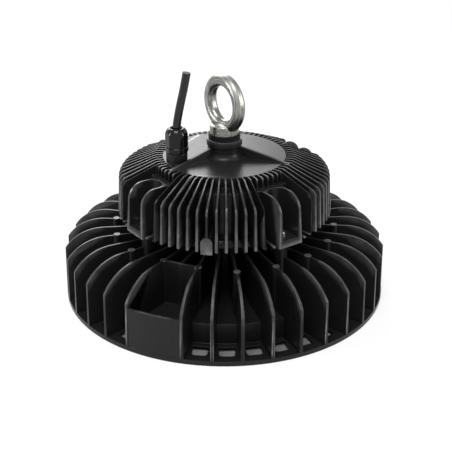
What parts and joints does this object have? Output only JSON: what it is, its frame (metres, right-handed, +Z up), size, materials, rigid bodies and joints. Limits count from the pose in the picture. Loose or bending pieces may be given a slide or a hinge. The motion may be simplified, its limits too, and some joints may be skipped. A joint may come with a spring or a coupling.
{
  "type": "high bay light",
  "caption": "Round finned high bay light with a separate finned driver housing on top, a lifting eye bolt and a cable gland with a short cord.",
  "frame": {"origin": "centre line of the light, at the underside of the heat sink's rim", "axes": "+Z up from the light opening to the eye bolt; -Y is the side with the pocket's panel to its left"},
  "size_m": [0.28, 0.28, 0.2011],
  "materials": {
    "black_casting": "fine black powder coat, semi-matt",
    "zinc_steel": "forged and zinc plated, slightly dull",
    "bright_screws": "bright plated",
    "black_steel": "black powder coat",
    "gland_nylon": "moulded, glossy",
    "cord_sheath": "smooth black sheath",
    "black_rubber": "matt",
    "grey_silicone": "matt silicone",
    "circuit_board": "solder resist",
    "transformer_tape": "wound tape",
    "choke_winding": "enamelled winding",
    "capacitor_sleeve": "shrink sleeve",
    "terminal_plastic": "moulded",
    "lead_sheath": "smooth sheath",
    "led_board_white": "white resist on aluminium",
    "led_phosphor": "phosphor",
    "clear_lens": "clear tempered glass"
  },
  "bodies": {
    "root": {"heat_sink": "black_casting", "driver_housing": "black_casting", "driver_base_plate": "black_casting", "base_plate_gasket": "grey_silicone", "neck_gasket": "grey_silicone", "lead_grommet": "black_rubber", "eye_bolt": "zinc_steel", "eye_bolt_washer": "black_rubber", "eye_nut_washer": "zinc_steel", "eye_nut": "zinc_steel", "gland_o_ring": "black_rubber", "gland_body": "gland_nylon", "gland_seal": "black_rubber", "gland_dome_nut": "gland_nylon", "gland_claws": "gland_nylon", "power_cord": "cord_sheath", "supply_lead": "cord_sheath", "driver_board": "circuit_board", "driver_transformer": "transformer_tape", "driver_choke": "choke_winding", "driver_capacitors": "capacitor_sleeve", "driver_terminal_block": "terminal_plastic", "led_lead": "lead_sheath", "thermal_pad": "grey_silicone", "led_board": "led_board_white", "led_packages": "led_phosphor", "lens_cover": "clear_lens", "lens_seal": "grey_silicone", "lens_ring": "black_steel", "ear_screws": "bright_screws", "base_plate_screws": "bright_screws", "driver_board_screws": "bright_screws", "lens_ring_screws": "bright_screws"}
  },
  "joints": []
}
